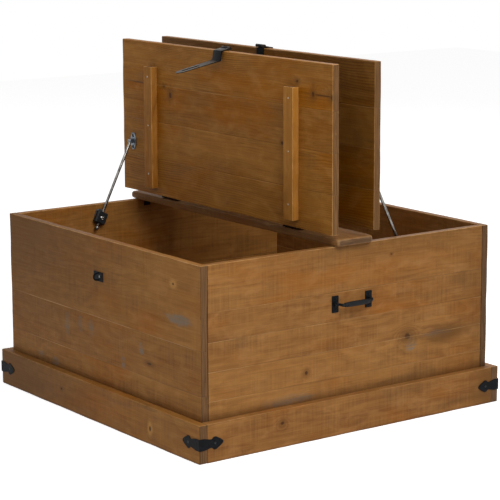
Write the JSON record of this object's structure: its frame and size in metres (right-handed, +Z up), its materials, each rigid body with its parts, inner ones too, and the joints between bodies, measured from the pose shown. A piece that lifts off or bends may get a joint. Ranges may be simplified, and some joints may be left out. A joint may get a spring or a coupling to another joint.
{
  "type": "storage chest",
  "caption": "Square pine blanket chest on a plinth, with lids that open up from a fixed centre rail, hasps, lid stays and lifting handles.",
  "frame": {"origin": "centre of the plinth's footprint, on the ground", "axes": "+Z up; -Y towards the front panel, whose lid has its stay at the left end; +X towards the right side handle"},
  "size_m": [0.916, 0.907, 0.882],
  "materials": {
    "pine": "waxed pine, worn grey at the edges",
    "batten_pine": "orange waxed pine",
    "plywood": "bare plywood",
    "black_iron": "black japanned iron",
    "grey_steel": "dull grey steel",
    "bright_steel": "bright drawn steel",
    "zinc": "zinc plated steel",
    "black_nylon": "moulded black nylon"
  },
  "bodies": {
    "chest": {"front_panel": "pine", "back_panel": "pine", "left_panel": "pine", "right_panel": "pine", "floor_panel": "plywood", "cleat_front": "pine", "cleat_back": "pine", "cleat_left": "pine", "cleat_right": "pine", "plinth_front": "pine", "plinth_back": "pine", "plinth_left": "pine", "plinth_right": "pine", "centre_rail": "pine", "rail_angle_left": "black_iron", "rail_angle_right": "black_iron", "corner_bracket_front_left": "black_iron", "corner_bracket_front_right": "black_iron", "corner_bracket_back_left": "black_iron", "corner_bracket_back_right": "black_iron", "front_hinge_left_rail_leaf": "black_iron", "front_hinge_right_rail_leaf": "black_iron", "back_hinge_left_rail_leaf": "black_iron", "back_hinge_right_rail_leaf": "black_iron", "front_stay_wall_plate": "zinc", "back_stay_wall_plate": "zinc", "front_staple_plate": "black_iron", "front_staple_loop": "black_iron", "back_staple_plate": "black_iron", "back_staple_loop": "black_iron", "right_handle_plate_near": "black_iron", "right_handle_plate_far": "black_iron", "left_handle_plate_near": "black_iron", "left_handle_plate_far": "black_iron"},
    "front_lid_set": {"front_lid": "pine", "front_batten_left": "batten_pine", "front_batten_right": "batten_pine", "front_hinge_left_lid_leaf": "black_iron", "front_hinge_right_lid_leaf": "black_iron", "front_stay_lid_plate": "zinc", "front_hasp_plate": "black_iron"},
    "front_stay_rod": {"front_stay_rod": "bright_steel"},
    "front_stay_housing": {"front_stay_housing": "black_nylon", "front_stay_adjuster": "bright_steel"},
    "front_hasp_strap": {"front_hasp_strap": "grey_steel", "front_hasp_pin": "grey_steel"},
    "back_lid_set": {"back_lid": "pine", "back_batten_left": "batten_pine", "back_batten_right": "batten_pine", "back_hinge_left_lid_leaf": "black_iron", "back_hinge_right_lid_leaf": "black_iron", "back_stay_lid_plate": "zinc", "back_hasp_plate": "black_iron"},
    "back_stay_rod": {"back_stay_rod": "bright_steel"},
    "back_stay_housing": {"back_stay_housing": "black_nylon", "back_stay_adjuster": "bright_steel"},
    "back_hasp_strap": {"back_hasp_strap": "grey_steel", "back_hasp_pin": "grey_steel"},
    "right_handle": {"right_handle": "black_iron"},
    "left_handle": {"left_handle": "black_iron"}
  },
  "joints": [
    {"name": "front_lid_hinge", "type": "hinge", "parent": "chest", "child": "front_lid_set", "pos_m": [0, -0.048, 0.4711], "axis": [1, 0, 0], "range_deg": [0, 90]},
    {"name": "front_stay_rod_pivot", "type": "hinge", "parent": "front_lid_set", "child": "front_stay_rod", "pos_m": [-0.4, -0.0797, 0.60746], "axis": [-1, 0, 0], "range_deg": [0, 45]},
    {"name": "front_stay_housing_pivot", "type": "hinge", "parent": "chest", "child": "front_stay_housing", "pos_m": [-0.4, -0.17529, 0.41282], "axis": [1, 0, 0], "range_deg": [0, 45]},
    {"name": "front_hasp_swing", "type": "hinge", "parent": "front_lid_set", "child": "front_hasp_strap", "pos_m": [0, -0.0525, 0.878], "axis": [-1, 0, 0], "range_deg": [0, 11.4]},
    {"name": "back_lid_hinge", "type": "hinge", "parent": "chest", "child": "back_lid_set", "pos_m": [0, 0.048, 0.4711], "axis": [-1, 0, 0], "range_deg": [0, 90]},
    {"name": "back_stay_rod_pivot", "type": "hinge", "parent": "back_lid_set", "child": "back_stay_rod", "pos_m": [0.4, 0.0797, 0.60746], "axis": [1, 0, 0], "range_deg": [0, 45]},
    {"name": "back_stay_housing_pivot", "type": "hinge", "parent": "chest", "child": "back_stay_housing", "pos_m": [0.4, 0.17529, 0.41282], "axis": [-1, 0, 0], "range_deg": [0, 45]},
    {"name": "back_hasp_swing", "type": "hinge", "parent": "back_lid_set", "child": "back_hasp_strap", "pos_m": [0, 0.0525, 0.878], "axis": [1, 0, 0], "range_deg": [0, 11.4]},
    {"name": "right_handle_drop", "type": "hinge", "parent": "chest", "child": "right_handle", "pos_m": [0.4373, 0, 0.3115], "axis": [0, 1, 0], "range_deg": [0, 90]},
    {"name": "left_handle_drop", "type": "hinge", "parent": "chest", "child": "left_handle", "pos_m": [-0.4373, 0, 0.3115], "axis": [0, -1, 0], "range_deg": [0, 90]}
  ],
  "couplings": [
    {"joint": "front_stay_rod_pivot", "follows": "front_lid_hinge", "ratio": 0.5},
    {"joint": "front_stay_housing_pivot", "follows": "front_lid_hinge", "ratio": 0.5},
    {"joint": "front_hasp_swing", "follows": "front_lid_hinge", "ratio": 0.1266},
    {"joint": "back_stay_rod_pivot", "follows": "back_lid_hinge", "ratio": 0.5},
    {"joint": "back_stay_housing_pivot", "follows": "back_lid_hinge", "ratio": 0.5},
    {"joint": "back_hasp_swing", "follows": "back_lid_hinge", "ratio": 0.1266}
  ]
}
